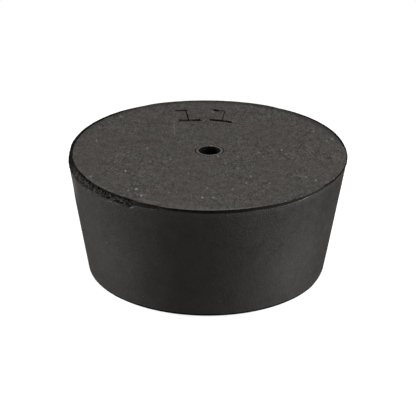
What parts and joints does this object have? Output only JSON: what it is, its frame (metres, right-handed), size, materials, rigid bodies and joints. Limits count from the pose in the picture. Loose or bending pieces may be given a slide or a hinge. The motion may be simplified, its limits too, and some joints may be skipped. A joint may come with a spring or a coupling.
{
  "type": "rubber stopper",
  "caption": "Tapered black rubber stopper with a straight hole for glass tube, raised-edge rim and a torn patch; plugs the neck of a flask or bottle.",
  "frame": {"origin": "centre of the small end, on the face that goes into the neck", "axes": "+Z from the small end to the large end; +X to the right when the size number on the large end reads upright, +Y away from the reader"},
  "size_m": [0.0556, 0.056, 0.025],
  "materials": {
    "black_rubber": "matt, lightly dusted"
  },
  "bodies": {
    "root": {"stopper": "black_rubber"}
  },
  "joints": []
}
